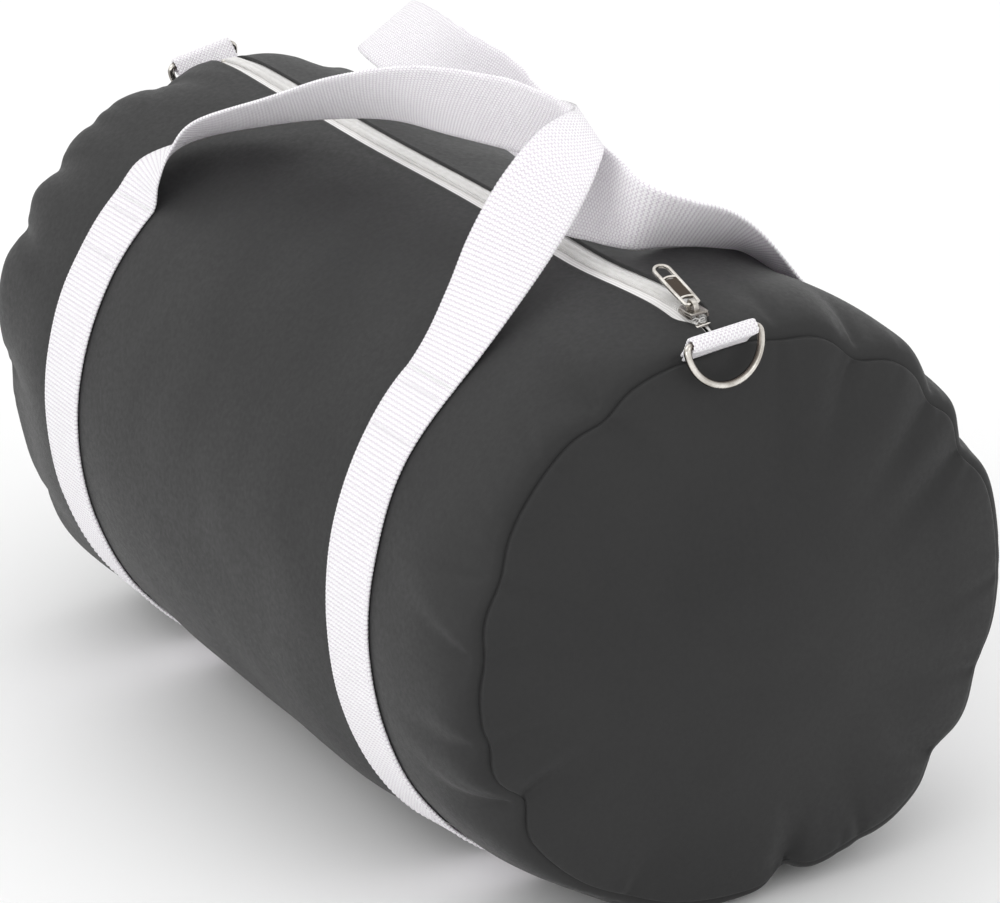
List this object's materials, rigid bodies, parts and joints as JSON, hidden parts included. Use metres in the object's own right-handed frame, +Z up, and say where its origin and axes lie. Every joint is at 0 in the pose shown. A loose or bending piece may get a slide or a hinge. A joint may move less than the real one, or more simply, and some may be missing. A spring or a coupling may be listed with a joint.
{
  "type": "roll duffel bag",
  "caption": "Round fabric roll bag with a zip along the top, webbing girth straps that continue as two carry handles, and a D-ring on a webbing tab at each end of the zip.",
  "frame": {"origin": "on the surface the bag stands on, under the middle of the bag", "axes": "+X along the bag to the end with the zip slider, -Y the front, +Z up"},
  "size_m": [0.485, 0.2718, 0.3231],
  "materials": {
    "body_nylon": "dark grey coated nylon, matte with a slight sheen",
    "binding_tape": "dark bias tape",
    "webbing": "white woven polypropylene webbing",
    "zip_tape": "white knitted zip tape",
    "zip_coil": "white nylon coil",
    "nickel": "bright nickel plate",
    "white_thread": "white sewing thread",
    "grey_thread": "dark grey sewing thread"
  },
  "bodies": {
    "bag": {"main_panel": "body_nylon", "right_end_panel": "body_nylon", "left_end_panel": "body_nylon", "right_seam_binding": "binding_tape", "left_seam_binding": "binding_tape", "front_zip_tape": "zip_tape", "back_zip_tape": "zip_tape", "front_zip_coil": "zip_coil", "back_zip_coil": "zip_coil", "zip_end_stops": "nickel", "right_ring_tab": "webbing", "left_ring_tab": "webbing", "right_girth_strap": "webbing", "left_girth_strap": "webbing", "handle_bartacks": "white_thread", "strap_stitching": "white_thread", "tab_stitching": "white_thread", "zip_topstitching": "grey_thread"},
    "slider": {"zip_slider": "nickel"},
    "puller": {"zip_puller": "nickel"},
    "right_ring": {"right_d_ring": "nickel"},
    "left_ring": {"left_d_ring": "nickel"},
    "front_carry_handle": {"front_handle": "webbing"},
    "back_carry_handle": {"back_handle": "webbing"}
  },
  "joints": [
    {"name": "zip_slide", "type": "slide", "parent": "bag", "child": "slider", "axis": [-0.9997, 0.0262, 0], "range_m": [0, 0.418]},
    {"name": "puller_flip", "type": "hinge", "parent": "slider", "child": "puller", "pos_m": [0.21193, -0.00555, 0.26515], "axis": [0.0262, 0.9997, 0], "range_deg": [-12, 148]},
    {"name": "right_ring_swing", "type": "hinge", "parent": "bag", "child": "right_ring", "pos_m": [0.236, -0.0067, 0.25893], "axis": [0, -0.9987, -0.0506], "range_deg": [-8, 135]},
    {"name": "left_ring_swing", "type": "hinge", "parent": "bag", "child": "left_ring", "pos_m": [-0.236, 0, 0.2571], "axis": [0, 0.9877, 0.1564], "range_deg": [-8, 135]},
    {"name": "front_handle_swing", "type": "hinge", "parent": "bag", "child": "front_carry_handle", "pos_m": [0, -0.08716, 0.23048], "axis": [1, 0, 0], "range_deg": [0, 120]},
    {"name": "back_handle_swing", "type": "hinge", "parent": "bag", "child": "back_carry_handle", "pos_m": [0, 0.08716, 0.23048], "axis": [-1, 0, 0], "range_deg": [0, 120]}
  ]
}
